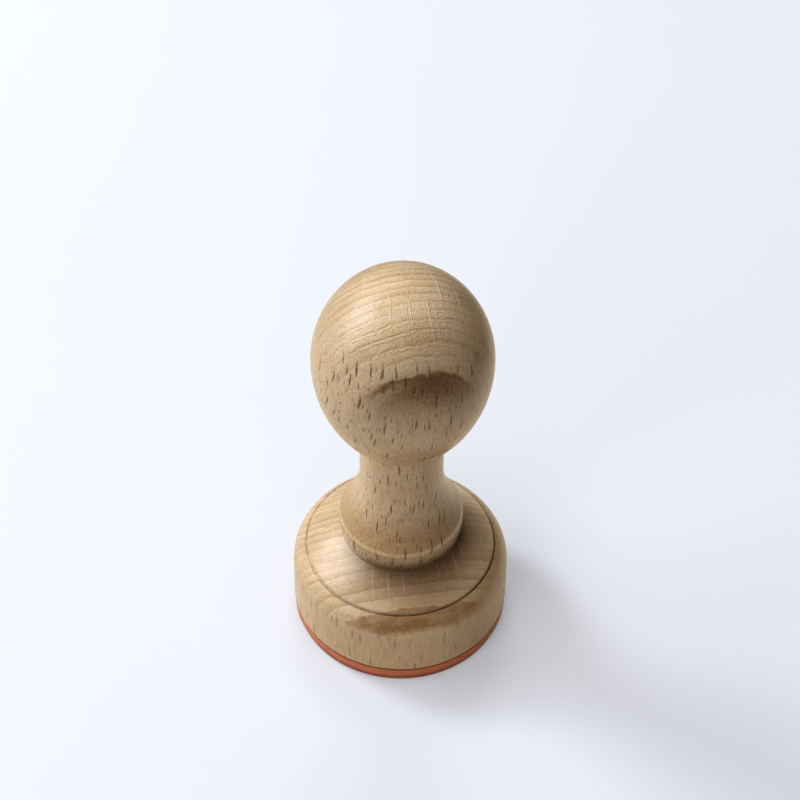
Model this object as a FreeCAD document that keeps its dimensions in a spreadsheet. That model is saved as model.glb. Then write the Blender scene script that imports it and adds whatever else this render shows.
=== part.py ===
import FreeCAD, Part
import os
import Sketcher

# Hand stamp with a one-piece turned beech handle and a round laser-engraved rubber die.
# Frame: millimetres, +Z up along the turning axis, origin at the centre of the printing face,
# so that the stamp stands on Z = 0 as it does when it is pressed on paper.

DRIVING_DIMENSIONS = [
    # printing end
    ("rubber_diameter", 29.8, "die, cut a little inside the wood"),
    ("rubber_thickness", 2.3, "backing and relief together"),
    ("relief_height", 0.9, "depth of the engraving"),
    ("relief_draft", 12.0, "slope of the engraved walls, degrees"),
    ("film_diameter", 29.2, "double-sided film"),
    ("film_thickness", 0.2, "double-sided film"),
    # engraved motif, all sizes on the printing face
    ("border_outer", 29.2, "border ring"),
    ("border_inner", 27.0, "border ring"),
    ("hairline_outer", 20.4, "thin inner ring"),
    ("hairline_inner", 19.4, "thin inner ring"),
    ("dot_circle", 23.7, "circle that carries the dots"),
    ("dot_diameter", 1.3, "dots between the two rings"),
    ("dot_count", 24, "dots between the two rings"),
    ("petal_start", 2.3, "petal root, from the axis"),
    ("petal_end", 8.1, "petal tip, from the axis"),
    ("petal_arc", 4.0, "radius of each side of a petal"),
    ("petal_count", 8, "petals of the rosette"),
    ("centre_dot", 2.2, "dot in the middle of the rosette"),
    # base of the handle
    ("base_diameter", 30.0, "wall of the base, the nominal stamp size"),
    ("wall_top", 9.1, "height where the wall turns into the shoulder"),
    ("shoulder_radius", 4.2, "rounding of the shoulder"),
    ("groove_diameter", 26.3, "scored ring"),
    ("groove_width", 0.36, "scored ring"),
    ("groove_floor", 12.15, "height of the bottom of the scored ring"),
    ("dome_edge", 12.72, "height of the dome where it meets the scored ring"),
    ("dome_radius", 20.0, "crown of the dome"),
    # foot of the neck
    ("foot_root_diameter", 16.3, "where the foot stands on the dome"),
    ("foot_root_height", 15.95, "where the foot stands on the dome"),
    ("foot_band_radius", 9.0, "bulge of the band under the rim"),
    ("foot_diameter", 17.0, "rim of the flare before it is eased"),
    ("foot_height", 19.9, "sharp rim of the flare"),
    # neck
    ("neck_diameter", 11.4, "waist"),
    ("waist_height", 28.6, "where the flare starts"),
    # knob
    ("knob_diameter", 24.1, "widest part of the knob"),
    ("knob_mid", 50.0, "height of the widest part"),
    ("knob_lower_half", 16.1, "from the widest part down to where the lower arc would close"),
    ("knob_lower_radius", 10.0, "underside of the knob"),
    ("knob_top_radius", 10.8, "crown of the knob"),
    ("overall_height", 63.6, "printing face to crown"),
    # softened edges
    ("neck_crease_fillet", 0.5, "sandpaper rounding where knob meets neck"),
    ("foot_crease_fillet", 0.3, "tool radius where the foot meets the dome"),
    ("foot_rim_fillet", 0.3, "eased rim of the flare"),
    ("base_edge_fillet", 0.25, "lower edge of the wood"),
    ("dome_lip_fillet", 0.12, "edge of the dome over the scored ring"),
]

ORIGIN_POINT = (-1, 1)
VERTICAL_AXIS = -2
START, END, CENTRE = 1, 2, 3


def make_sheet(doc):
    """Spreadsheet of driving dimensions; every cell has the dimension's own name as its alias."""
    sheet = doc.addObject("Spreadsheet::Sheet", "dims")
    for row, (name, value, note) in enumerate(DRIVING_DIMENSIONS, start=1):
        sheet.set(f"A{row}", name)
        sheet.set(f"B{row}", str(value))
        sheet.set(f"C{row}", note)
        sheet.setAlias(f"B{row}", name)
    doc.recompute()
    return sheet


def origin_plane(body, role):
    return next(item for item in body.Origin.OriginFeatures if item.Role == role)


def new_body(doc, label):
    body = doc.addObject("PartDesign::Body", label)
    body.Label = label
    return body


def new_sketch(body, name, role, lift=None):
    """Sketch on one of the body's origin planes, raised by an expression when lift is given."""
    sketch = body.newObject("Sketcher::SketchObject", name)
    sketch.AttachmentSupport = (origin_plane(body, role), [""])
    sketch.MapMode = "FlatFace"
    if lift:
        sketch.setExpression("AttachmentOffset.Base.z", lift)
    return sketch


def constrain(sketch, *arguments):
    return sketch.addConstraint(Sketcher.Constraint(*arguments))


def drive(sketch, name, expression, kind, *arguments):
    """Named constraint whose value follows an expression over the spreadsheet."""
    index = constrain(sketch, kind, *arguments)
    sketch.renameConstraint(index, name)
    sketch.setExpression(f"Constraints.{name}", expression)


def drive_point(sketch, name, place, values, across=None, up=None):
    """Fix one end of a curve by its distance from the axis and its height."""
    if across:
        drive(sketch, name + "_across", across, "DistanceX", *ORIGIN_POINT, *place, values[0])
    if up:
        drive(sketch, name + "_up", up, "DistanceY", *ORIGIN_POINT, *place, values[1])


def add_line(sketch, first, second):
    return sketch.addGeometry(Part.LineSegment(to_vector(first), to_vector(second)), False)


def to_vector(point):
    return FreeCAD.Vector(point[0], point[1], 0)


def add_arc(sketch, centre, radius, first, second, anticlockwise=True):
    """Arc from first to second; Sketcher stores arcs anticlockwise, so the ends may be swapped."""
    circle = Part.Circle(to_vector(centre), FreeCAD.Vector(0, 0, 1), radius)
    start, stop = (first, second) if anticlockwise else (second, first)
    low = circle.parameter(to_vector(start))
    high = circle.parameter(to_vector(stop))
    return sketch.addGeometry(Part.ArcOfCircle(circle, low, high), False)


def circle_through(first, second, radius, bulge_right):
    """Centre of the circle of a radius through two points, on the chosen side of the chord."""
    run_x = second[0] - first[0]
    run_y = second[1] - first[1]
    chord = (run_x**2 + run_y**2) ** 0.5
    offset = (radius**2 - (chord / 2) ** 2) ** 0.5
    side = 1 if bulge_right else -1
    mid = ((first[0] + second[0]) / 2, (first[1] + second[1]) / 2)
    return (mid[0] - side * offset * run_y / chord, mid[1] + side * offset * run_x / chord)


def revolve(body, sketch, name):
    feature = body.newObject("PartDesign::Revolution", name)
    feature.Profile = sketch
    feature.ReferenceAxis = (sketch, ["V_Axis"])
    feature.Angle = 360.0
    sketch.Visibility = False
    return feature


def pad(body, sketch, name, length, draft=None):
    feature = body.newObject("PartDesign::Pad", name)
    feature.Profile = sketch
    feature.setExpression("Length", length)
    if draft:
        feature.setExpression("TaperAngle", draft)
    return feature


def pattern(body, feature, name, count):
    polar = body.newObject("PartDesign::PolarPattern", name)
    polar.Originals = [feature]
    polar.Axis = (origin_plane(body, "Z_Axis"), [""])
    polar.Angle = 360.0
    polar.setExpression("Occurrences", count)
    body.Tip = polar
    return polar


def ring_edge(feature, radius, height):
    """Name of the circular edge with a given radius and height on a turned solid."""
    for number, edge in enumerate(feature.Shape.Edges, start=1):
        curve = edge.Curve
        if not isinstance(curve, Part.Circle):
            continue
        if abs(curve.Radius - radius) < 0.01 and abs(curve.Center.z - height) < 0.01:
            return f"Edge{number}"
    raise ValueError(f"no ring of radius {radius} at height {height}")


def soften(body, base, name, radius, height, size):
    """Fillet one ring edge of the turning."""
    feature = body.newObject("PartDesign::Fillet", name)
    feature.Base = (base, [ring_edge(base, radius, height)])
    feature.setExpression("Radius", size)
    body.Document.recompute()
    return feature


def turned_handle(doc, dims):
    """Knob, neck, foot and base turned from one blank: half outline, revolved about the axis."""
    body = new_body(doc, "turned_handle")
    sketch = new_sketch(body, "handle_outline", "XZ_Plane")

    wood_bottom = dims.rubber_thickness + dims.film_thickness
    base_radius = dims.base_diameter / 2
    groove_radius = dims.groove_diameter / 2
    groove_half = dims.groove_width / 2
    neck_radius = dims.neck_diameter / 2
    knob_radius = dims.knob_diameter / 2

    bottom_centre = (0, wood_bottom)
    bottom_edge = (base_radius, wood_bottom)
    wall_end = (base_radius, dims.wall_top)
    shoulder_centre = (base_radius - dims.shoulder_radius, dims.wall_top)
    groove_outer_across = groove_radius + groove_half
    shoulder_run = groove_outer_across - shoulder_centre[0]
    shoulder_rise = (dims.shoulder_radius**2 - shoulder_run**2) ** 0.5
    groove_outer = (groove_outer_across, dims.wall_top + shoulder_rise)
    groove_bottom = (groove_radius, dims.groove_floor)
    groove_inner = (groove_radius - groove_half, dims.dome_edge)
    foot_root = (dims.foot_root_diameter / 2, dims.foot_root_height)
    foot_rim = (dims.foot_diameter / 2, dims.foot_height)
    waist = (neck_radius, dims.waist_height)

    flare_drop = dims.waist_height - dims.foot_height
    flare_spread = foot_rim[0] - neck_radius
    flare_radius = (flare_spread**2 + flare_drop**2) / (2 * flare_spread)
    flare_centre = (neck_radius + flare_radius, dims.waist_height)

    lower_centre = (0, dims.knob_mid - dims.knob_lower_half + dims.knob_lower_radius)
    crease_drop = (dims.knob_lower_radius**2 - neck_radius**2) ** 0.5
    crease = (neck_radius, lower_centre[1] - crease_drop)
    top_centre = (0, dims.overall_height - dims.knob_top_radius)
    equator = (knob_radius, dims.knob_mid)
    crown = (0, dims.overall_height)

    def side_arc(end_centre, end_radius):
        """Arc that leaves the equator upright and runs smoothly into an arc centred on the axis."""
        offset = abs(end_centre[1] - dims.knob_mid)
        radius = (knob_radius**2 + offset**2 - end_radius**2) / (2 * (knob_radius - end_radius))
        centre = (knob_radius - radius, dims.knob_mid)
        reach = end_radius / (radius - end_radius)
        join_x = end_centre[0] + (end_centre[0] - centre[0]) * reach
        join_y = end_centre[1] + (end_centre[1] - centre[1]) * reach
        return centre, radius, (join_x, join_y)

    low_centre, low_radius, low_join = side_arc(lower_centre, dims.knob_lower_radius)
    high_centre, high_radius, high_join = side_arc(top_centre, dims.knob_top_radius)
    dome_centre = circle_through(groove_inner, foot_root, dims.dome_radius, True)
    band_centre = circle_through(foot_root, foot_rim, dims.foot_band_radius, True)

    bottom = add_line(sketch, bottom_centre, bottom_edge)
    wall = add_line(sketch, bottom_edge, wall_end)
    shoulder = add_arc(sketch, shoulder_centre, dims.shoulder_radius, wall_end, groove_outer)
    groove_out = add_line(sketch, groove_outer, groove_bottom)
    groove_in = add_line(sketch, groove_bottom, groove_inner)
    dome = add_arc(sketch, dome_centre, dims.dome_radius, groove_inner, foot_root)
    band = add_arc(sketch, band_centre, dims.foot_band_radius, foot_root, foot_rim)
    flare = add_arc(sketch, flare_centre, flare_radius, foot_rim, waist, anticlockwise=False)
    neck = add_line(sketch, waist, crease)
    knob_under = add_arc(sketch, lower_centre, dims.knob_lower_radius, crease, low_join)
    knob_low = add_arc(sketch, low_centre, low_radius, low_join, equator)
    knob_high = add_arc(sketch, high_centre, high_radius, equator, high_join)
    knob_top = add_arc(sketch, top_centre, dims.knob_top_radius, high_join, crown)
    axis = add_line(sketch, crown, bottom_centre)

    # each pair is (curve, end) meeting (curve, end); the flare is stored from waist to rim
    joints = [
        (bottom, END, wall, START), (shoulder, END, groove_out, START),
        (groove_out, END, groove_in, START), (groove_in, END, dome, START),
        (dome, END, band, START), (band, END, flare, END),
        (neck, END, knob_under, START), (knob_top, END, axis, START), (axis, END, bottom, START),
    ]
    for joint in joints:
        constrain(sketch, "Coincident", *joint)
    smooth_joints = [
        (wall, END, shoulder, START), (flare, START, neck, START),
        (knob_under, END, knob_low, START), (knob_low, END, knob_high, START),
        (knob_high, END, knob_top, START),
    ]
    for joint in smooth_joints:
        constrain(sketch, "Tangent", *joint)

    constrain(sketch, "Horizontal", bottom)
    constrain(sketch, "Vertical", wall)
    constrain(sketch, "Vertical", neck)
    constrain(sketch, "PointOnObject", bottom, START, VERTICAL_AXIS)
    constrain(sketch, "PointOnObject", knob_top, END, VERTICAL_AXIS)
    constrain(sketch, "PointOnObject", knob_under, CENTRE, VERTICAL_AXIS)
    constrain(sketch, "PointOnObject", knob_top, CENTRE, VERTICAL_AXIS)

    drive_point(sketch, "base", (bottom, END), bottom_edge,
                "dims.base_diameter / 2", "dims.rubber_thickness + dims.film_thickness")
    drive_point(sketch, "wall", (wall, END), wall_end, up="dims.wall_top")
    drive(sketch, "shoulder_size", "dims.shoulder_radius", "Radius", shoulder, dims.shoulder_radius)
    drive_point(sketch, "groove_outer", (shoulder, END), groove_outer,
                across="dims.groove_diameter / 2 + dims.groove_width / 2")
    drive_point(sketch, "groove_bottom", (groove_out, END), groove_bottom,
                "dims.groove_diameter / 2", "dims.groove_floor")
    drive_point(sketch, "groove_inner", (groove_in, END), groove_inner,
                "dims.groove_diameter / 2 - dims.groove_width / 2", "dims.dome_edge")
    drive(sketch, "dome_size", "dims.dome_radius", "Radius", dome, dims.dome_radius)
    drive_point(sketch, "foot_root", (dome, END), foot_root,
                "dims.foot_root_diameter / 2", "dims.foot_root_height")
    drive(sketch, "band_size", "dims.foot_band_radius", "Radius", band, dims.foot_band_radius)
    drive_point(sketch, "foot_rim", (band, END), foot_rim,
                "dims.foot_diameter / 2", "dims.foot_height")
    drive_point(sketch, "waist", (neck, START), waist,
                "dims.neck_diameter / 2", "dims.waist_height")
    drive(sketch, "under_size", "dims.knob_lower_radius",
          "Radius", knob_under, dims.knob_lower_radius)
    drive_point(sketch, "under_centre", (knob_under, CENTRE), lower_centre,
                up="dims.knob_mid - dims.knob_lower_half + dims.knob_lower_radius")
    drive_point(sketch, "equator", (knob_low, END), equator,
                "dims.knob_diameter / 2", "dims.knob_mid")
    drive_point(sketch, "equator_centre", (knob_low, CENTRE), low_centre, up="dims.knob_mid")
    drive(sketch, "top_size", "dims.knob_top_radius", "Radius", knob_top, dims.knob_top_radius)
    drive_point(sketch, "crown", (knob_top, END), crown, up="dims.overall_height")
    doc.recompute()

    turning = revolve(body, sketch, "handle_turning")
    doc.recompute()
    rounded = soften(body, turning, "neck_crease", *crease, "dims.neck_crease_fillet")
    rounded = soften(body, rounded, "foot_crease", *foot_root, "dims.foot_crease_fillet")
    rounded = soften(body, rounded, "foot_rim", *foot_rim, "dims.foot_rim_fillet")
    rounded = soften(body, rounded, "dome_lip", *groove_inner, "dims.dome_lip_fillet")
    soften(body, rounded, "base_edge", *bottom_edge, "dims.base_edge_fillet")
    return body


def adhesive_film(doc, dims):
    """Round film between the wood and the back of the die."""
    body = new_body(doc, "adhesive_film")
    body.setExpression("Placement.Base.z", "dims.rubber_thickness")
    sketch = new_sketch(body, "film_outline", "XY_Plane")
    add_circle(sketch, "film", dims.film_diameter, "dims.film_diameter")
    pad(body, sketch, "film_sheet", "dims.film_thickness")
    return body


def add_circle(sketch, name, diameter, expression, across=0, across_expression=None):
    """Circle on the X axis of a sketch, centred on the origin unless it is set off."""
    circle = Part.Circle(FreeCAD.Vector(across, 0, 0), FreeCAD.Vector(0, 0, 1), diameter / 2)
    index = sketch.addGeometry(circle, False)
    if across_expression:
        constrain(sketch, "PointOnObject", index, CENTRE, -1)
        drive(sketch, name + "_across", across_expression,
              "DistanceX", *ORIGIN_POINT, index, CENTRE, across)
    else:
        constrain(sketch, "Coincident", index, CENTRE, *ORIGIN_POINT)
    drive(sketch, name + "_diameter", expression, "Diameter", index, diameter)
    return index


def rubber_die(doc, dims):
    """Backing disc with a raised motif: border ring, dots, hairline ring and an eight-petal rosette."""
    body = new_body(doc, "rubber_die")

    back_outline = new_sketch(body, "backing_outline", "XY_Plane", "dims.relief_height")
    add_circle(back_outline, "backing", dims.rubber_diameter, "dims.rubber_diameter")
    pad(body, back_outline, "backing", "dims.rubber_thickness - dims.relief_height")

    rings = new_sketch(body, "ring_outlines", "XY_Plane")
    ring_sizes = ["border_outer", "border_inner", "hairline_outer", "hairline_inner", "centre_dot"]
    for name in ring_sizes:
        add_circle(rings, name, getattr(dims, name), f"dims.{name}")
    pad(body, rings, "rings", "dims.relief_height", "dims.relief_draft")

    dot_outline = new_sketch(body, "dot_outline", "XY_Plane")
    add_circle(dot_outline, "dot", dims.dot_diameter, "dims.dot_diameter",
               dims.dot_circle / 2, "dims.dot_circle / 2")
    dot = pad(body, dot_outline, "dot", "dims.relief_height", "dims.relief_draft")
    doc.recompute()
    pattern(body, dot, "dots", "dims.dot_count")
    doc.recompute()

    petal_outline = new_sketch(body, "petal_outline", "XY_Plane")
    root = (dims.petal_start, 0)
    tip = (dims.petal_end, 0)
    near_centre = circle_through(root, tip, dims.petal_arc, True)
    far_centre = circle_through(root, tip, dims.petal_arc, False)
    near_side = add_arc(petal_outline, near_centre, dims.petal_arc, root, tip)
    far_side = add_arc(petal_outline, far_centre, dims.petal_arc, root, tip, anticlockwise=False)
    constrain(petal_outline, "Coincident", near_side, START, far_side, END)
    constrain(petal_outline, "Coincident", near_side, END, far_side, START)
    constrain(petal_outline, "PointOnObject", near_side, START, -1)
    constrain(petal_outline, "PointOnObject", near_side, END, -1)
    drive_point(petal_outline, "root", (near_side, START), root, across="dims.petal_start")
    drive_point(petal_outline, "tip", (near_side, END), tip, across="dims.petal_end")
    for name, side in (("near_arc", near_side), ("far_arc", far_side)):
        drive(petal_outline, name, "dims.petal_arc", "Radius", side, dims.petal_arc)
    petal = pad(body, petal_outline, "petal", "dims.relief_height", "dims.relief_draft")
    doc.recompute()
    pattern(body, petal, "petals", "dims.petal_count")
    return body


def check(doc, bodies):
    """Stop if any object failed to recompute or a sub-part isn't one valid solid."""
    doc.recompute()
    for item in doc.Objects:
        if "Invalid" in item.State or "Error" in item.State:
            raise RuntimeError(f"{item.Name} is {item.State}")
    for body in bodies:
        shape = body.Shape
        if shape.isNull() or not shape.isValid() or len(shape.Solids) != 1:
            raise RuntimeError(f"{body.Label} is not one valid solid")
        box = shape.optimalBoundingBox(False, False)
        print(f"{body.Label}: volume {shape.Volume:.1f} mm3, diameter {box.XLength:.2f}, "
              f"Z {box.ZMin:.2f} to {box.ZMax:.2f}")


def main():
    doc = FreeCAD.newDocument("rubber_stamp")
    dims = make_sheet(doc)
    bodies = [turned_handle(doc, dims), adhesive_film(doc, dims), rubber_die(doc, dims)]
    check(doc, bodies)
    os.makedirs("parts", exist_ok=True)
    for body in bodies:
        body.Shape.exportStep(f"parts/{body.Label}.step")


main()
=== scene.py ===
"""Looks of the hand stamp: turned beech handle, adhesive film and laser-engraved rubber die.

Positions are in metres in the part's own frame; shapes and grain are worked out in millimetres.
"""

import math

import bpy
import numpy as np
from mathutils import Matrix, Vector


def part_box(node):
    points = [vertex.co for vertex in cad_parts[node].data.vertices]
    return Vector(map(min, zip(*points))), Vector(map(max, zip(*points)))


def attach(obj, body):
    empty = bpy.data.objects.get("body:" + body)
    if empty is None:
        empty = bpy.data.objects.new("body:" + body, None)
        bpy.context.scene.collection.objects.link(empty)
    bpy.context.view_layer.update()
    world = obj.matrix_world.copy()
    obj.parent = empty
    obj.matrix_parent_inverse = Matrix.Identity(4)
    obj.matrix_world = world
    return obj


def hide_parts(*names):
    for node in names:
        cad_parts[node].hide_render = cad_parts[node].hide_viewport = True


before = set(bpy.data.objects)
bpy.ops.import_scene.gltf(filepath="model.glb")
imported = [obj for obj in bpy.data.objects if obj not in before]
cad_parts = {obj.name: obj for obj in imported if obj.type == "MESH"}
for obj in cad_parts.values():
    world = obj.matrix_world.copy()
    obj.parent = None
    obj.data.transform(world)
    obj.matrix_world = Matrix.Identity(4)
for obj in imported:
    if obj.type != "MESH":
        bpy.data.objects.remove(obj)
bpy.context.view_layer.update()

MM = 0.001

# ---------------------------------------------------------------- dimensions, millimetres
# heights are above the printing face, radii from the turning axis, points are (radius, height)
HANDLE_LOW, HANDLE_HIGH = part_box("turned_handle")
WOOD_BOTTOM = HANDLE_LOW[2] / MM
OVERALL = HANDLE_HIGH[2] / MM
BASE_RADIUS = HANDLE_HIGH[0] / MM
BASE_EDGE = 0.25
WALL_TOP = 9.1
SHOULDER = 4.2
GROOVE_RADIUS = 13.15
GROOVE_HALF_WIDTH = 0.18
GROOVE_FLOOR = 12.15
DOME_EDGE = 12.72
DOME_RADIUS = 20.0
FOOT_ROOT = (8.15, 15.95)
FOOT_BAND = 9.0
FOOT_RIM = (8.5, 19.9)
WAIST = (5.7, 28.6)
THROAT_HEIGHT = 35.7
KNOB_RADIUS = 12.05
KNOB_MID = 50.0
KNOB_LOWER_HALF = 16.1
KNOB_LOWER_ARC = 10.0
KNOB_TOP_ARC = 10.8
UNDER_CENTRE = (0.0, KNOB_MID - KNOB_LOWER_HALF + KNOB_LOWER_ARC)
TOP_CENTRE = (0.0, OVERALL - KNOB_TOP_ARC)

# how far each softened corner of the outline reaches
GROOVE_ROUNDING = 0.09
LIP_ROUNDING = 0.11
ROOT_ROUNDING = 0.12
THROAT_ROUNDING = 0.2
RIM_ROUNDING = 0.5

# about how far apart the points of the outline lie
FLAT_STEP = 0.8
EDGE_STEP = 0.08
WALL_STEP = 0.4
CURVE_STEP = 0.22
BAND_STEP = 0.16
NECK_STEP = 0.35
KNOB_STEP = 0.26
CORNER_POINTS = 6
LATHE_SEGMENTS = 400

# the faults of the turning: how far the surface moves, and how wide the zone is that moves;
# only the part of a wave above its threshold chips or nicks the edge
CHIP_INWARD, CHIP_DOWN, CHIP_WIDTH, CHIP_THRESHOLD = 0.5, 0.36, 0.5, 0.12
NICK_DOWN, NICK_WIDTH, NICK_THRESHOLD = 0.30, 0.34, 0.22
SCORE_WANDER, SCORE_CHATTER, SCORE_WIDTH = 0.22, 0.12, 0.3
ROOT_WANDER, ROOT_WIDTH = 0.12, 0.5
# the score is shallowest at this azimuth, in degrees
SCORE_SHALLOW, SCORE_SHALLOW_AT = 0.12, 150.0


# ---------------------------------------------------------------- outline of the turning
def angle_of(centre, point):
    return math.atan2(point[1] - centre[1], point[0] - centre[0])


def arc(centre, radius, start, stop, step):
    """Points along an arc from one angle to another, about a step apart, both ends included."""
    count = max(3, math.ceil(abs(stop - start) * radius / step) + 1)
    return [
        (centre[0] + radius * math.cos(a), centre[1] + radius * math.sin(a))
        for a in np.linspace(start, stop, count)
    ]


def arc_between(first, second, radius, step):
    """Outward-bulging arc through two points that climb away from the axis or towards it."""
    run_x, run_y = second[0] - first[0], second[1] - first[1]
    chord = math.hypot(run_x, run_y)
    offset = math.sqrt(radius**2 - (chord / 2) ** 2)
    centre = (
        (first[0] + second[0]) / 2 - offset * run_y / chord,
        (first[1] + second[1]) / 2 + offset * run_x / chord,
    )
    return arc(centre, radius, angle_of(centre, first), angle_of(centre, second), step)


def line(first, second, step):
    count = max(2, math.ceil(math.dist(first, second) / step) + 1)
    return [tuple(p) for p in np.linspace(first, second, count)]


def knob_side(end_centre, end_radius):
    """Large arc from the widest part to a smaller end arc: its centre, radius and meeting point."""
    off = abs(end_centre[1] - KNOB_MID)
    radius = (KNOB_RADIUS**2 + off**2 - end_radius**2) / (2 * (KNOB_RADIUS - end_radius))
    centre = (KNOB_RADIUS - radius, KNOB_MID)
    reach = end_radius / (radius - end_radius)
    join = (
        end_centre[0] + (end_centre[0] - centre[0]) * reach,
        end_centre[1] + (end_centre[1] - centre[1]) * reach,
    )
    return centre, radius, join


def round_corner(before, corner, after, size):
    """Replace a sharp corner by a short blended curve that starts and ends `size` away from it."""
    def towards(point):
        length = math.dist(corner, point)
        return (
            corner[0] + (point[0] - corner[0]) * size / length,
            corner[1] + (point[1] - corner[1]) * size / length,
        )
    start, stop = towards(before), towards(after)
    points = []
    for t in np.linspace(0, 1, CORNER_POINTS):
        points.append(tuple(
            (1 - t) ** 2 * start[k] + 2 * t * (1 - t) * corner[k] + t**2 * stop[k] for k in (0, 1)
        ))
    return points


def base_outline():
    """Bottom, wall, shoulder, scored ring and dome, as far as the foot of the neck."""
    edge_centre = (BASE_RADIUS - BASE_EDGE, WOOD_BOTTOM + BASE_EDGE)
    shoulder_centre = (BASE_RADIUS - SHOULDER, WALL_TOP)
    lip_angle = math.acos((GROOVE_RADIUS + GROOVE_HALF_WIDTH - shoulder_centre[0]) / SHOULDER)
    groove_inner = (GROOVE_RADIUS - GROOVE_HALF_WIDTH, DOME_EDGE)

    bottom = line((0.0, WOOD_BOTTOM), (edge_centre[0], WOOD_BOTTOM), FLAT_STEP)
    edge = arc(edge_centre, BASE_EDGE, -math.pi / 2, 0.0, EDGE_STEP)
    wall = line((BASE_RADIUS, edge_centre[1]), (BASE_RADIUS, WALL_TOP), WALL_STEP)
    shoulder = arc(shoulder_centre, SHOULDER, 0.0, lip_angle, CURVE_STEP)
    groove = round_corner(shoulder[-2], (GROOVE_RADIUS, GROOVE_FLOOR), groove_inner, GROOVE_ROUNDING)
    dome = arc_between(groove_inner, FOOT_ROOT, DOME_RADIUS, CURVE_STEP)
    lip = round_corner(groove[-1], groove_inner, dome[1], LIP_ROUNDING)
    return bottom + edge[1:] + wall[1:] + shoulder[1:] + groove + lip + dome[1:-1]


def neck_outline(before_root, after_crease):
    """Foot, flare, neck and the crease under the knob."""
    flare_step = WAIST[1] - FOOT_RIM[1]
    flare_run = FOOT_RIM[0] - WAIST[0]
    flare_radius = (flare_run**2 + flare_step**2) / (2 * flare_run)
    flare_centre = (WAIST[0] + flare_radius, WAIST[1])
    flare_start = angle_of(flare_centre, FOOT_RIM) % (2 * math.pi)

    band = arc_between(FOOT_ROOT, FOOT_RIM, FOOT_BAND, BAND_STEP)
    flare = arc(flare_centre, flare_radius, flare_start, math.pi, CURVE_STEP)
    neck = line(WAIST, knob_crease(), NECK_STEP)
    root = round_corner(before_root, FOOT_ROOT, band[1], ROOT_ROUNDING)
    rim = round_corner(band[-2], FOOT_RIM, flare[1], RIM_ROUNDING)
    band = [point for point in band if math.dist(point, FOOT_RIM) > RIM_ROUNDING]
    flare = [point for point in flare if math.dist(point, FOOT_RIM) > RIM_ROUNDING]
    throat = round_corner(neck[-2], knob_crease(), after_crease, THROAT_ROUNDING)
    return root + band[1:] + rim + flare + neck[1:-1] + throat


def knob_crease():
    """Where the underside of the knob meets the neck."""
    return (WAIST[0], UNDER_CENTRE[1] - math.sqrt(KNOB_LOWER_ARC**2 - WAIST[0] ** 2))


def knob_outline():
    """Four arcs from the crease to the crown."""
    low_centre, low_radius, low_join = knob_side(UNDER_CENTRE, KNOB_LOWER_ARC)
    high_centre, high_radius, high_join = knob_side(TOP_CENTRE, KNOB_TOP_ARC)
    under = arc(UNDER_CENTRE, KNOB_LOWER_ARC, angle_of(UNDER_CENTRE, knob_crease()),
                angle_of(UNDER_CENTRE, low_join), KNOB_STEP)
    low = arc(low_centre, low_radius, angle_of(low_centre, low_join), 0.0, KNOB_STEP)
    high = arc(high_centre, high_radius, 0.0, angle_of(high_centre, high_join), KNOB_STEP)
    top = arc(TOP_CENTRE, KNOB_TOP_ARC, angle_of(TOP_CENTRE, high_join), math.pi / 2, KNOB_STEP)
    return under[1:] + low[1:] + high[1:] + top[1:]


def outline():
    """Half outline of the handle, from the middle of its flat bottom to the crown."""
    base = base_outline()
    knob = knob_outline()
    return np.array(base + neck_outline(base[-1], knob[0]) + knob)


# ---------------------------------------------------------------- turned mesh
def ripple(theta, seed, harmonics, amplitude):
    """Smooth closed wander round the axis: a few seeded waves."""
    rng = np.random.default_rng(seed)
    total = np.zeros_like(theta)
    for order in harmonics:
        total += rng.normal() * np.cos(order * theta + rng.uniform(0, 2 * math.pi)) / len(harmonics)
    return amplitude * total


def wear(theta, radius, height):
    """Move the lathe's points: chipped foot rim, uneven score, nicked lip, wandering foot line."""
    def close_to(point, width):
        return np.exp(-((np.hypot(radius - point[0], height - point[1]) / width) ** 2))

    chips = np.clip(ripple(theta, 5, range(23, 71, 3), 1.0) - CHIP_THRESHOLD, 0, None)
    rim = close_to(FOOT_RIM, CHIP_WIDTH)
    radius -= rim * (CHIP_INWARD * chips[None, :])
    height -= rim * (CHIP_DOWN * chips[None, :])

    depth = ripple(theta, 11, range(3, 40, 4), SCORE_WANDER)
    depth += ripple(theta, 12, range(41, 90, 5), SCORE_CHATTER)
    depth += SCORE_SHALLOW * (1 + np.cos(theta - math.radians(SCORE_SHALLOW_AT)))
    height += close_to((GROOVE_RADIUS, GROOVE_FLOOR), SCORE_WIDTH) * depth[None, :]

    nick = np.clip(ripple(theta, 14, range(17, 90, 4), 1.0) - NICK_THRESHOLD, 0, None)
    height -= close_to((GROOVE_RADIUS, DOME_EDGE), NICK_WIDTH) * (NICK_DOWN * nick[None, :])
    height += close_to(FOOT_ROOT, ROOT_WIDTH) * ripple(theta, 21, range(2, 9), ROOT_WANDER)[None, :]


def lathe_faces(rings):
    """Quads between neighbouring rings, and a fan of triangles to each pole."""
    faces = []
    for ring in range(rings - 1):
        low, high = ring * LATHE_SEGMENTS, (ring + 1) * LATHE_SEGMENTS
        for i in range(LATHE_SEGMENTS):
            j = (i + 1) % LATHE_SEGMENTS
            faces.append((low + i, low + j, high + j, high + i))
    last = (rings - 1) * LATHE_SEGMENTS
    bottom_pole = rings * LATHE_SEGMENTS
    for i in range(LATHE_SEGMENTS):
        j = (i + 1) % LATHE_SEGMENTS
        faces.append((bottom_pole, j, i))
        faces.append((last + i, last + j, bottom_pole + 1))
    return faces


def new_object(name, data):
    made = bpy.data.objects.new(name, data)
    bpy.context.collection.objects.link(made)
    return made


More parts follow.
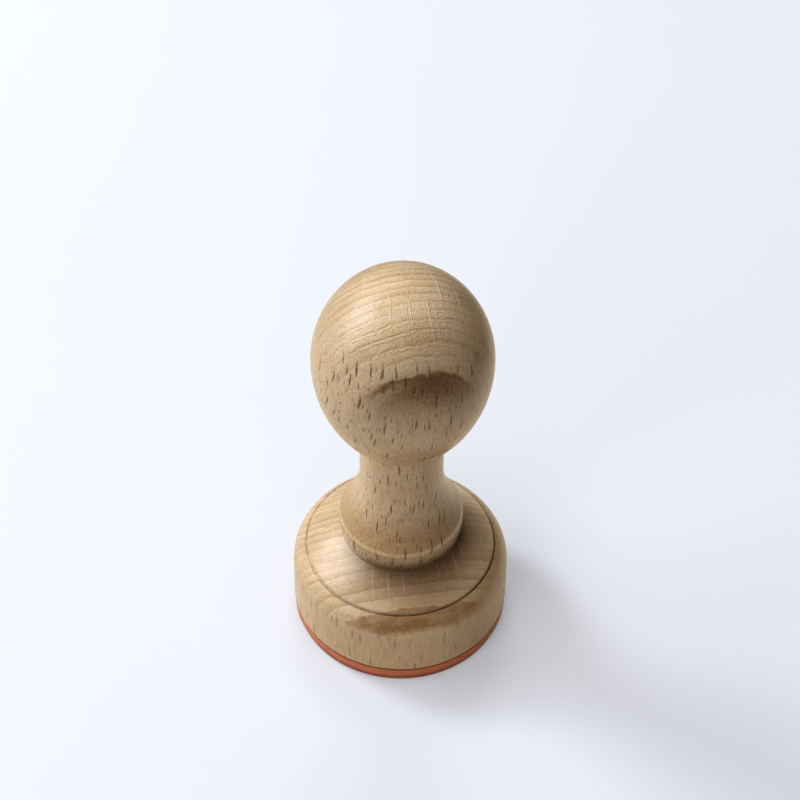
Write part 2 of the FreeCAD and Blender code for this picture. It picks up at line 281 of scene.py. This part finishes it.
def turned_mesh(name):
    """The outline spun round the axis, then worn."""
    profile = outline()[1:-1]
    theta = np.linspace(0, 2 * math.pi, LATHE_SEGMENTS, endpoint=False)
    radius = np.repeat(profile[:, :1], LATHE_SEGMENTS, axis=1)
    height = np.repeat(profile[:, 1:], LATHE_SEGMENTS, axis=1)
    turn = np.repeat(theta[None, :], len(profile), axis=0)
    wear(theta, radius, height)

    points = np.stack([radius * np.cos(turn), radius * np.sin(turn), height], axis=-1)
    poles = np.array([[0.0, 0.0, WOOD_BOTTOM], [0.0, 0.0, OVERALL]])
    vertices = np.concatenate([points.reshape(-1, 3), poles]) * MM
    mesh = bpy.data.meshes.new(name)
    mesh.from_pydata(vertices.tolist(), [], lathe_faces(len(profile)))
    mesh.polygons.foreach_set("use_smooth", [True] * len(mesh.polygons))
    mesh.update()
    return new_object(name, mesh)


# ---------------------------------------------------------------- node helpers
def rgb(red, green, blue):
    return (red, green, blue, 1.0)


class Graph:
    """Short way to write a node tree: every method adds a node and returns its output."""

    def __init__(self, name):
        self.material = bpy.data.materials.new(name)
        self.material.use_nodes = True
        self.tree = self.material.node_tree
        self.tree.nodes.clear()
        output = self.tree.nodes.new("ShaderNodeOutputMaterial")
        self.shader = self.tree.nodes.new("ShaderNodeBsdfPrincipled")
        self.tree.links.new(self.shader.outputs["BSDF"], output.inputs["Surface"])

    def put(self, socket, value):
        if isinstance(value, bpy.types.NodeSocket):
            self.tree.links.new(value, socket)
        else:
            socket.default_value = value

    def math(self, operation, first, second=0.0):
        node = self.tree.nodes.new("ShaderNodeMath")
        node.operation = operation
        self.put(node.inputs[0], first)
        self.put(node.inputs[1], second)
        return node.outputs[0]

    def add(self, first, second):
        return self.math("ADD", first, second)

    def minus(self, first, second):
        return self.math("SUBTRACT", first, second)

    def times(self, first, second):
        return self.math("MULTIPLY", first, second)

    def over(self, first, second):
        return self.math("DIVIDE", first, second)

    def larger(self, first, second):
        return self.math("MAXIMUM", first, second)

    def size(self, value):
        return self.math("ABSOLUTE", value)

    def radius(self, x, y):
        return self.math("SQRT", self.add(self.times(x, x), self.times(y, y)))

    def span(self, value, low, high):
        """0 below low, 1 above high; the two may be swapped for the opposite slope."""
        node = self.tree.nodes.new("ShaderNodeMapRange")
        node.interpolation_type = "SMOOTHSTEP"
        node.clamp = True
        flipped = low > high
        self.put(node.inputs["Value"], value)
        node.inputs["From Min"].default_value = high if flipped else low
        node.inputs["From Max"].default_value = low if flipped else high
        node.inputs["To Min"].default_value = 1.0 if flipped else 0.0
        node.inputs["To Max"].default_value = 0.0 if flipped else 1.0
        return node.outputs["Result"]

    def between(self, value, rise, fall):
        """Rises from 0 to 1 over the first pair of values and falls back over the second."""
        return self.times(self.span(value, *rise), self.span(value, fall[1], fall[0]))

    def bump_at(self, value, centre, half_width):
        """Smooth hump, 1 at the centre and 0 beyond the half width."""
        return self.span(self.size(self.minus(value, centre)), half_width, 0.0)

    def vector(self, x, y, z):
        node = self.tree.nodes.new("ShaderNodeCombineXYZ")
        for socket, value in zip(node.inputs, (x, y, z)):
            self.put(socket, value)
        return node.outputs[0]

    def split(self, vector):
        node = self.tree.nodes.new("ShaderNodeSeparateXYZ")
        self.put(node.inputs[0], vector)
        return node.outputs[0], node.outputs[1], node.outputs[2]

    def vector_math(self, operation, first, second=(0, 0, 0)):
        node = self.tree.nodes.new("ShaderNodeVectorMath")
        node.operation = operation
        self.put(node.inputs[0], first)
        self.put(node.inputs["Scale" if operation == "SCALE" else 1], second)
        return node.outputs["Value" if operation == "LENGTH" else 0]

    def millimetres(self):
        node = self.tree.nodes.new("ShaderNodeTexCoord")
        return self.vector_math("SCALE", node.outputs["Object"], 1.0 / MM)

    def normal(self):
        return self.tree.nodes.new("ShaderNodeTexCoord").outputs["Normal"]

    def noise(self, vector, scale, detail=2.0, roughness=0.5, colour=False):
        node = self.tree.nodes.new("ShaderNodeTexNoise")
        self.put(node.inputs["Vector"], vector)
        node.inputs["Scale"].default_value = scale
        node.inputs["Detail"].default_value = detail
        node.inputs["Roughness"].default_value = roughness
        return node.outputs["Color"] if colour else node.outputs["Fac"]

    def wander(self, vector, scale, detail, reach):
        """Three noises that swing about zero, by at most half the reach each way."""
        centred = self.vector_math("SUBTRACT", self.noise(vector, scale, detail, colour=True), (0.5,) * 3)
        return self.vector_math("SCALE", centred, reach)

    def sway(self, vector, scale, detail, reach):
        """The same for a single number."""
        return self.times(self.minus(self.noise(vector, scale, detail), 0.5), reach)

    def cells(self, vector):
        """Nearest random point on a plane: the distance to it, and its own random colour."""
        node = self.tree.nodes.new("ShaderNodeTexVoronoi")
        node.feature = "F1"
        node.voronoi_dimensions = "2D"
        self.put(node.inputs["Vector"], vector)
        node.inputs["Scale"].default_value = 1.0
        node.inputs["Randomness"].default_value = 1.0
        return node.outputs["Distance"], node.outputs["Color"]

    def white(self, value):
        node = self.tree.nodes.new("ShaderNodeTexWhiteNoise")
        node.noise_dimensions = "1D"
        self.put(node.inputs["W"], value)
        return node.outputs["Value"]

    def mix(self, factor, first, second, mode="MIX"):
        node = self.tree.nodes.new("ShaderNodeMix")
        node.data_type = "RGBA"
        node.blend_type = mode
        self.put(node.inputs["Factor"], factor)
        self.put(node.inputs[6], first)
        self.put(node.inputs[7], second)
        return node.outputs[2]

    def finish(self, colour, roughness, height, depth, gloss):
        """Connect the surface; depth is the relief in millimetres, gloss holds plain socket values."""
        bump = self.tree.nodes.new("ShaderNodeBump")
        bump.inputs["Strength"].default_value = 1.0
        bump.inputs["Distance"].default_value = depth * MM
        self.put(bump.inputs["Height"], height)
        self.put(self.shader.inputs["Base Color"], colour)
        self.put(self.shader.inputs["Roughness"], roughness)
        self.put(self.shader.inputs["Normal"], bump.outputs["Normal"])
        for socket, value in gloss.items():
            self.shader.inputs[socket].default_value = value
        return self.material


# ---------------------------------------------------------------- beech
# beside wood.x, y, z, reach and rho a number is in millimetres; the others are shares from 0 to 1
# the tree: its pith stands behind the stamp, and the growth rings curve round it
PITH = (-6.0, 36.0)
RING_START = 42.8
RING_SPACING = 1.2
# rho span of the knob's patch: a darker year with painted core shade
KNOB_STAIN_AND_SHADE = (46.35, 49.4)
SHOULDER_STAIN = (48.7, 51.1)
RAY_REFERENCE_RADIUS = 44.0
RAY_LEAN = -0.07
# scattered lenses: spacing across, spacing along, size, seed, and the share that is kept
TALL_FLECKS = (0.80, 7.4, 0.185, 0.0, 0.95)
SHORT_FLECKS = (0.55, 3.4, 0.17, 4.3, 0.55)
BROAD_FLECKS = (1.05, 8.0, 0.19, 7.7, 0.75)
END_THREADS = (0.90, 26.0, 0.19, 9.1, 0.9)
END_HATCH = (0.50, 4.0, 0.20, 13.9, 0.8)

BEECH_PALE = rgb(0.585, 0.41, 0.24)
BEECH_MID = rgb(0.485, 0.32, 0.17)
BEECH_GREY = rgb(0.525, 0.39, 0.25)
FIBRE_TINT = rgb(0.74, 0.66, 0.56)
LATEWOOD = rgb(0.27, 0.15, 0.06)
# colour of the knob's patch: stain with painted core shade
STAIN_AND_CORE_SHADE = rgb(0.125, 0.05, 0.014)
YEAR_LINE = rgb(0.115, 0.038, 0.011)
GOLDEN = rgb(0.36, 0.215, 0.065)
RAY_DARK = rgb(0.085, 0.046, 0.018)
RAY_OLIVE = rgb(0.235, 0.165, 0.08)
RAY_LIGHT = rgb(0.70, 0.54, 0.37)
# painted highlight for the rim's arris
ARRIS_HIGHLIGHT = rgb(0.64, 0.46, 0.27)
# painted shade, used on the flare, the base's right flank and the knob's right cheek
SHADE_BROWN = rgb(0.31, 0.155, 0.045)
# painted shadow under the foot
HEEL_SHADOW = rgb(0.115, 0.047, 0.011)
SHOULDER_TONE = rgb(0.23, 0.098, 0.028)
# painted shade for the scored ring, the foot's root and under the knob
CREASE_SHADE = rgb(0.085, 0.042, 0.018)
OILED_GLOSS = {"Specular IOR Level": 0.4, "Coat Weight": 1.0, "Coat Roughness": 0.27}
WOOD_RELIEF = 0.07


class Timber:
    """Where a point lies: in the handle, in the tree, and how the cut faces there."""

    def __init__(self, g):
        self.place = g.millimetres()
        self.x, self.y, self.z = g.split(self.place)
        self.reach = g.radius(self.x, self.y)

        bend = g.vector_math("ADD", g.wander(self.place, 0.045, 1.0, 1.5),
                             g.wander(self.place, 0.4, 2.0, 0.65))
        bent_x, bent_y, _ = g.split(g.vector_math("ADD", self.place, bend))
        from_x = g.minus(bent_x, PITH[0])
        from_y = g.minus(bent_y, PITH[1])
        self.rho = g.radius(from_x, from_y)
        self.ragged_rho = g.add(self.rho, g.sway(self.place, 0.9, 3.0, 0.6))
        angle = g.math("ARCTAN2", from_x, g.times(from_y, -1.0))
        self.around = g.times(angle, RAY_REFERENCE_RADIUS)

        normal_x, normal_y, normal_z = g.split(g.normal())
        along = g.add(g.times(normal_x, g.over(from_x, self.rho)),
                      g.times(normal_y, g.over(from_y, self.rho)))
        self.end_grain = g.size(normal_z)
        self.flat_sawn = g.size(along)
        self.steep = g.span(self.end_grain, 0.72, 0.42)
        self.on_knob = g.span(self.z, 30.0, 38.0)


def growth_rings(g, wood, colour):
    """Faint yearly bands, each closed by a broken dark line with a pale one beside it."""
    stretch = g.sway(g.vector(g.times(wood.rho, 0.5), 3.0, 7.0), 1.0, 1.0, 0.35)
    ring = g.add(g.over(g.minus(wood.rho, RING_START), RING_SPACING), stretch)
    part = g.math("FRACT", ring)
    tone = g.white(g.math("FLOOR", ring))
    cut = g.add(g.times(wood.end_grain, 0.8), 0.2)
    late = g.between(part, (0.25, 0.95), (0.96, 1.0))
    colour = g.mix(g.times(late, g.times(cut, g.add(g.times(tone, 0.5), 0.08))), colour, LATEWOOD)
    broken = g.span(g.noise(wood.place, 1.15, 2.0), 0.34, 0.52)
    dark_line = g.times(g.bump_at(part, 0.86, 0.17), broken)
    pale_line = g.times(g.bump_at(part, 0.07, 0.17), broken)
    colour = g.mix(g.times(dark_line, g.times(cut, 0.22)), colour, LATEWOOD)
    colour = g.mix(g.times(pale_line, g.times(cut, 0.30)), colour, RAY_LIGHT)
    strength = g.times(g.bump_at(wood.end_grain, 0.72, 0.30), g.add(g.times(wood.on_knob, 0.85), 0.15))
    return colour, g.times(g.minus(pale_line, dark_line), strength)


def knob_year(g, wood, colour):
    """A darker year crosses the front of the knob: a firm line above, fading below it; the patch is stain
    and painted core shade together.
    """
    start, stop = KNOB_STAIN_AND_SHADE
    upper = g.span(wood.z, 47.0, 54.5)
    year = g.between(wood.ragged_rho, (start, start + 0.2), (stop - 2.3, stop))
    # the patch paints the stain and the core shade on the knob's front and right
    patch_across = g.bump_at(wood.x, 3.6, 12.5)
    colour = g.mix(g.times(year, g.times(patch_across, upper)), colour, STAIN_AND_CORE_SHADE)
    edge_line = g.bump_at(wood.ragged_rho, start + 0.08, 0.30)
    line_span = g.times(g.span(g.size(g.minus(wood.x, 2.6)), 8.6, 5.0), g.span(wood.z, 30.0, 34.0))
    fade = g.add(g.times(upper, 0.8), 0.1)
    return g.mix(g.times(edge_line, g.times(line_span, fade)), colour, YEAR_LINE)


def shoulder_year(g, wood, colour):
    """Another crosses the front of the shoulder and ends in a golden edge."""
    start, stop = SHOULDER_STAIN
    low = g.between(wood.z, (9.7, 10.4), (13.5, 16.0))
    year = g.between(wood.ragged_rho, (start, start + 0.4), (stop - 0.14, stop))
    across = g.span(wood.x, -13.0, -4.0)
    uneven = g.add(g.times(g.span(g.noise(wood.place, 0.45, 2.0), 0.35, 0.62), 0.35), 0.6)
    colour = g.mix(g.times(year, g.times(g.times(across, low), uneven)), colour, SHOULDER_TONE)
    golden = g.times(g.bump_at(wood.ragged_rho, stop - 0.02, 0.24), low)
    return g.mix(g.times(golden, 0.75), colour, GOLDEN)


def painted_shade_and_highlight(g, wood, colour):
    """Painted shade on the flare, a painted shadow on the front and right of the foot's root and the dome
    beside it, painted shade on the right flank of the base and the right cheek of the knob, and a painted
    highlight along the rim's arris.
    """
    # painted shade on the flare, under the knob
    flare = g.between(wood.z, (18.2, 19.4), (20.6, 26.0))
    colour = g.mix(g.times(flare, 0.62), colour, SHADE_BROWN)
    # painted shadow of the foot and neck on the front and right of the foot's root and the dome beside it
    front = g.span(g.minus(g.times(wood.x, 0.55), g.times(wood.y, 0.84)), -1.0, 7.0)
    inner = g.add(g.times(g.span(wood.reach, 12.5, 8.6), 0.4), 0.6)
    heel_shadow = g.times(g.times(g.bump_at(wood.z, 16.0, 4.6), front), inner)
    colour = g.mix(g.times(heel_shadow, 0.95), colour, HEEL_SHADOW)
    # painted shade on the right flank of the base, the side away from the light
    flank_shade = g.times(g.span(wood.z, 13.0, 12.4), g.span(wood.x, 5.0, 13.0))
    colour = g.mix(g.times(flank_shade, 0.65), colour, SHADE_BROWN)
    # painted shade on the right cheek of the knob, the side away from the light
    cheek_shade = g.times(g.span(wood.z, 36.0, 46.0), g.span(wood.x, 5.0, 11.5))
    colour = g.mix(g.times(cheek_shade, 0.5), colour, SHADE_BROWN)
    # painted highlight along the rim's arris
    arris_highlight = g.times(g.bump_at(wood.z, FOOT_RIM[1] - 0.25, 0.55), g.span(wood.reach, 7.7, 8.1))
    return g.mix(g.times(arris_highlight, 0.7), colour, ARRIS_HIGHLIGHT)


def lenses(g, across, along, spacing, reach, size, seed, kept):
    """Slim lenses scattered over a sheet; 1 inside a lens, and only some of them are kept."""
    sheet = g.vector(g.add(g.over(across, spacing), seed), g.over(along, reach), 0.0)
    spot, random = g.cells(sheet)
    own, lot, _ = g.split(random)
    slim = g.add(g.times(own, size * 0.45), g.times(g.span(lot, kept, kept + 0.02), size))
    return g.span(g.add(spot, slim), size, size * 0.55)


def flat_sawn_rays(g, wood, colour):
    """Dark flecks where the cut is flat-sawn: slim on the knob and neck, broad on the base wall."""
    on_flat = g.times(g.span(wood.flat_sawn, 0.34, 0.62), g.span(wood.end_grain, 0.66, 0.48))
    leaning = g.add(wood.around, g.times(wood.z, RAY_LEAN))
    tall = lenses(g, leaning, wood.z, *TALL_FLECKS)
    short = lenses(g, leaning, wood.z, *SHORT_FLECKS)
    flecks = g.times(g.larger(tall, g.times(short, 0.75)), g.times(on_flat, g.span(wood.z, 12.0, 15.0)))
    colour = g.mix(g.times(flecks, 0.92), colour, RAY_DARK)
    broad = lenses(g, wood.around, wood.z, *BROAD_FLECKS)
    broad = g.times(broad, g.times(g.times(on_flat, wood.steep), g.span(wood.z, 13.5, 11.0)))
    colour = g.mix(g.times(broad, 0.8), colour, RAY_OLIVE)
    return colour, g.larger(flecks, g.times(broad, 0.5))


def end_grain_rays(g, wood, colour):
    """Pale threads that run away from the pith over the crown and, fainter, over the dome."""
    on_end = g.span(wood.end_grain, 0.60, 0.84)
    threads = lenses(g, wood.around, wood.rho, *END_THREADS)
    hatch = lenses(g, wood.around, wood.rho, *END_HATCH)
    pale = g.times(g.larger(threads, g.times(hatch, 0.45)), on_end)
    pale = g.times(pale, g.add(g.times(g.span(wood.z, 30.0, 40.0), 0.8), 0.2))
    return g.mix(g.times(pale, 0.85), colour, RAY_LIGHT), pale


def painted_crease_shade(g, wood, colour):
    """Painted shade in the scored ring, at the foot's root and under the knob, strongest on the front and
    right.
    """
    score = g.times(g.bump_at(wood.reach, GROOVE_RADIUS, 0.46),
                    g.span(wood.z, GROOVE_FLOOR + 0.52, GROOVE_FLOOR + 0.1))
    root = g.times(g.bump_at(wood.z, FOOT_ROOT[1] - 0.1, 1.7),
                   g.span(wood.reach, FOOT_ROOT[0] + 1.5, FOOT_ROOT[0] + 0.1))
    throat = g.times(g.bump_at(wood.z, THROAT_HEIGHT, 0.45), 0.55)
    # the painted shade is stronger on the front and right, the side of the stamp that is in shade
    front = g.span(g.minus(g.times(wood.x, 0.8), g.times(wood.y, 0.6)), -7.0, 7.0)
    ring = g.larger(g.times(score, 0.9), g.times(root, 0.7))
    crease_shade = g.larger(g.times(ring, g.add(g.times(front, 0.8), 0.2)), throat)
    return g.mix(g.math("MINIMUM", crease_shade, 1.0), colour, CREASE_SHADE)


def beech():
    """Beech turned across its rings, sanded and oiled."""
    g = Graph("oiled_beech_turned")
    wood = Timber(g)
    drift = g.noise(g.vector(g.times(wood.rho, 0.45), g.times(wood.around, 0.1),
                             g.times(wood.z, 0.04)), 1.0, 2.0)
    colour = g.mix(g.span(drift, 0.32, 0.68), BEECH_PALE, BEECH_MID)
    colour = g.mix(g.times(wood.steep, 0.8), colour, BEECH_GREY)
    colour, ridge = growth_rings(g, wood, colour)
    colour = knob_year(g, wood, colour)
    colour = shoulder_year(g, wood, colour)
    colour = painted_shade_and_highlight(g, wood, colour)
    colour, flecks = flat_sawn_rays(g, wood, colour)
    colour, pale = end_grain_rays(g, wood, colour)

    fibre = g.noise(g.vector_math("MULTIPLY", wood.place, (4.2, 4.2, 0.42)), 1.0, 3.0, 0.6)
    grain = g.noise(wood.place, 3.0, 2.0, 0.7)
    fibre_weight = g.times(g.span(fibre, 0.45, 0.68), g.add(g.times(wood.steep, 0.75), 0.15))
    colour = g.mix(fibre_weight, colour, g.mix(1.0, colour, FIBRE_TINT, "MULTIPLY"))
    colour = g.mix(g.times(g.span(grain, 0.50, 0.68), 0.30), colour, LATEWOOD)
    colour = g.mix(g.times(g.span(grain, 0.50, 0.34), 0.11), colour, RAY_LIGHT)
    base_wall = g.times(g.span(wood.z, 13.0, 9.0), wood.steep)
    colour = g.mix(g.times(base_wall, 0.24), colour, RAY_OLIVE)
    colour = painted_crease_shade(g, wood, colour)

    rough = g.add(g.times(g.noise(wood.place, 0.9, 3.0), 0.12), 0.40)
    rough = g.add(rough, g.times(flecks, 0.3))
    height = g.times(g.noise(wood.place, 0.35, 2.0), 0.7)
    pebble = g.times(grain, g.add(g.times(wood.on_knob, 1.1), 0.35))
    for part, weight in ((fibre, -0.3), (pebble, -1.0), (flecks, -1.6), (pale, 1.2), (ridge, 1.0)):
        height = g.add(height, g.times(part, weight))
    return g.finish(colour, rough, height, WOOD_RELIEF, OILED_GLOSS)


# ---------------------------------------------------------------- rubber and film
RUBBER_BRIGHT = rgb(0.52, 0.16, 0.075)
# painted shade for the lower stratum, and the colour of the rubber's mottling
RUBBER_MOTTLE_AND_SHADE = rgb(0.30, 0.065, 0.04)
# painted shade for the rubber's top and bottom edges
RUBBER_EDGE_SHADE = rgb(0.16, 0.05, 0.035)
RUBBER_RELIEF = 0.05
# painted shade for the film's edge
FILM_SHADE_PALE = rgb(0.16, 0.06, 0.035)
FILM_SHADE_DARK = rgb(0.07, 0.03, 0.02)
FILM_RELIEF = 0.03


def red_rubber():
    """Laser-cut stamp rubber: clean upper stratum, engraved lower stratum painted darker as shade,
    painted shade along the top and bottom edges, faint cut marks.
    """
    g = Graph("red_rubber_laser_cut")
    place = g.millimetres()
    x, y, z = g.split(place)
    turn = g.times(g.math("ARCTAN2", y, x), 15.0)
    level = g.add(z, g.sway(g.vector(turn, 0.0, 0.0), 0.35, 2.0, 0.5))
    # the engraved lower stratum is painted darker: painted shade on the set-back relief wall
    colour = g.mix(g.span(level, 0.85, 1.35), RUBBER_MOTTLE_AND_SHADE, RUBBER_BRIGHT)
    cloud = g.noise(place, 0.8, 3.0)
    colour = g.mix(g.times(g.span(cloud, 0.35, 0.75), 0.35), colour, RUBBER_MOTTLE_AND_SHADE)
    # painted shade along the bottom edge where the die meets the floor, and along the top edge under the
    # film
    edge_shade = g.add(g.span(z, 0.22, 0.02), g.times(g.span(z, 2.05, 2.28), 0.8))
    colour = g.mix(g.times(edge_shade, 0.6), colour, RUBBER_EDGE_SHADE)
    marks = g.noise(g.vector(g.times(turn, 4.0), g.times(z, 0.5), 0.0), 1.0, 3.0)
    height = g.add(marks, g.times(g.noise(place, 9.0, 2.0), 0.3))
    rough = g.add(g.times(cloud, 0.2), 0.48)
    return g.finish(colour, rough, height, RUBBER_RELIEF, {"Specular IOR Level": 0.4})


def clear_adhesive():
    """Thin double-sided film, painted dark as the shade in the recess between wood and rubber."""
    g = Graph("adhesive_film_painted_shade")
    film_noise = g.noise(g.millimetres(), 1.6, 2.0)
    # the film is painted near black: painted shade in the recess
    colour = g.mix(film_noise, FILM_SHADE_PALE, FILM_SHADE_DARK)
    return g.finish(colour, g.add(g.times(film_noise, 0.2), 0.25), film_noise, FILM_RELIEF, {})


# ---------------------------------------------------------------- pieces
def use_only(piece, material):
    piece.data.materials.clear()
    piece.data.materials.append(material)


def add_handle():
    handle = turned_mesh("turned_handle_wood")
    use_only(handle, beech())
    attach(handle, "root")
    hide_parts("turned_handle")


def dress_cad_nodes():
    use_only(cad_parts["rubber_die"], red_rubber())
    use_only(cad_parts["adhesive_film"], clear_adhesive())


# ---------------------------------------------------------------- stage, light and camera
FLOOR_RADIUS = 4.0
FLOOR_SIDES = 64
FLOOR_DROP = 0.02 * MM
FLOOR_GLOW = 0.255
SHEET_EDGE = (60.0, 160.0)
PAPER_TONES = rgb(0.435, 0.43, 0.445), rgb(0.445, 0.44, 0.455)
PAPER_GLOW = rgb(0.92, 0.93, 1.0)
SHEET_BOUNCE = rgb(0.44, 0.35, 0.25)
TABLE_BOUNCE = rgb(0.12, 0.09, 0.06)
PAPER_ROUGHNESS = 0.85
BOUNCE_GLOW = rgb(0.86, 0.66, 0.45)

LAMP_DISTANCE = 0.8
LAMP_AIM = Vector((0.0, 0.0, 0.02))
# name: azimuth and elevation in degrees, width and height in metres, watts, colour, seen in gloss
LAMPS = {
    "window": (168, 37, (0.56, 0.52), 3.8, (0.78, 0.89, 1.0), True),
    "skylight": (149, 38, (0.22, 0.22), 4.6, (0.88, 0.94, 1.0), False),
    "front_fill": (236, 34, (0.50, 0.40), 2.5, (1.0, 0.97, 0.92), False),
    "back_bounce": (90, 50, (0.30, 0.25), 1.9, (0.92, 0.96, 1.0), False),
    "ceiling": (240, 84, (0.50, 0.50), 3.0, (0.93, 0.96, 1.0), False),
}
ROOM_COLOUR = rgb(0.98, 0.98, 1.0)
ROOM_LIGHT = 0.035
BACKDROP_LIGHT = 0.86

CAMERA_AT = (-0.317, -247.9, 317.0)
CAMERA_DOWN = 47.97
CAMERA_ROLL = 0.674
CAMERA_LENS = 126.0
CAMERA_SENSOR = 36.0
CAMERA_NEAR = 0.01


def pale_paper():
    """Pale paper; away from the stamp it sends less light back, as a sheet on a darker table does."""
    g = Graph("pale_paper")
    place = g.millimetres()
    seen = g.tree.nodes.new("ShaderNodeLightPath").outputs["Is Camera Ray"]
    near = g.span(g.vector_math("LENGTH", place), SHEET_EDGE[1], SHEET_EDGE[0])
    sheet = g.larger(seen, near)
    tone = g.noise(place, 0.02, 1.0)
    bounce = g.mix(sheet, TABLE_BOUNCE, SHEET_BOUNCE)
    g.put(g.shader.inputs["Base Color"], g.mix(seen, bounce, g.mix(tone, *PAPER_TONES)))
    g.put(g.shader.inputs["Emission Color"], g.mix(seen, BOUNCE_GLOW, PAPER_GLOW))
    g.put(g.shader.inputs["Emission Strength"], g.times(sheet, FLOOR_GLOW))
    g.put(g.shader.inputs["Roughness"], g.add(g.times(tone, 0.02), PAPER_ROUGHNESS))
    g.shader.inputs["Specular IOR Level"].default_value = 0.1
    return g.material


def add_floor():
    mesh = bpy.data.meshes.new("floor")
    ring = [
        (FLOOR_RADIUS * math.cos(a), FLOOR_RADIUS * math.sin(a), -FLOOR_DROP)
        for a in np.linspace(0, 2 * math.pi, FLOOR_SIDES, endpoint=False)
    ]
    mesh.from_pydata(ring, [], [tuple(range(FLOOR_SIDES))])
    floor = new_object("floor", mesh)
    use_only(floor, pale_paper())


def direction(azimuth, elevation):
    az, el = math.radians(azimuth), math.radians(elevation)
    return Vector((math.cos(el) * math.cos(az), math.cos(el) * math.sin(az), math.sin(el)))


def add_lamp(name, azimuth, elevation, size, watts, colour, glossy):
    lamp = bpy.data.lights.new(name, "AREA")
    lamp.shape = "RECTANGLE"
    lamp.size, lamp.size_y = size
    lamp.energy = watts
    lamp.color = colour
    away = direction(azimuth, elevation)
    holder = new_object(name, lamp)
    holder.location = LAMP_AIM + away * LAMP_DISTANCE
    holder.rotation_euler = away.to_track_quat("Z", "Y").to_euler()
    holder.visible_glossy = glossy


def add_room():
    """A pale backdrop for the camera that gives the stamp only a little light."""
    world = bpy.data.worlds.new("soft_room")
    world.use_nodes = True
    nodes, links = world.node_tree.nodes, world.node_tree.links
    background = nodes["Background"]
    background.inputs["Color"].default_value = ROOM_COLOUR
    seen = nodes.new("ShaderNodeLightPath")
    level = nodes.new("ShaderNodeMapRange")
    level.inputs["To Min"].default_value = ROOM_LIGHT
    level.inputs["To Max"].default_value = BACKDROP_LIGHT
    links.new(seen.outputs["Is Camera Ray"], level.inputs["Value"])
    links.new(level.outputs["Result"], background.inputs["Strength"])
    bpy.context.scene.world = world
    bpy.context.scene.view_settings.view_transform = "Standard"


def add_camera():
    camera = bpy.data.cameras.new("camera")
    camera.lens = CAMERA_LENS
    camera.sensor_width = CAMERA_SENSOR
    camera.clip_start = CAMERA_NEAR
    holder = new_object("camera", camera)
    tilt = Matrix.Rotation(math.radians(90.0 - CAMERA_DOWN), 4, "X")
    roll = Matrix.Rotation(math.radians(CAMERA_ROLL), 4, "Z")
    holder.matrix_world = Matrix.Translation(Vector(CAMERA_AT) * MM) @ tilt @ roll
    bpy.context.scene.camera = holder


add_handle()
dress_cad_nodes()
add_floor()
for lamp_name, settings in LAMPS.items():
    add_lamp(lamp_name, *settings)
add_room()
add_camera()
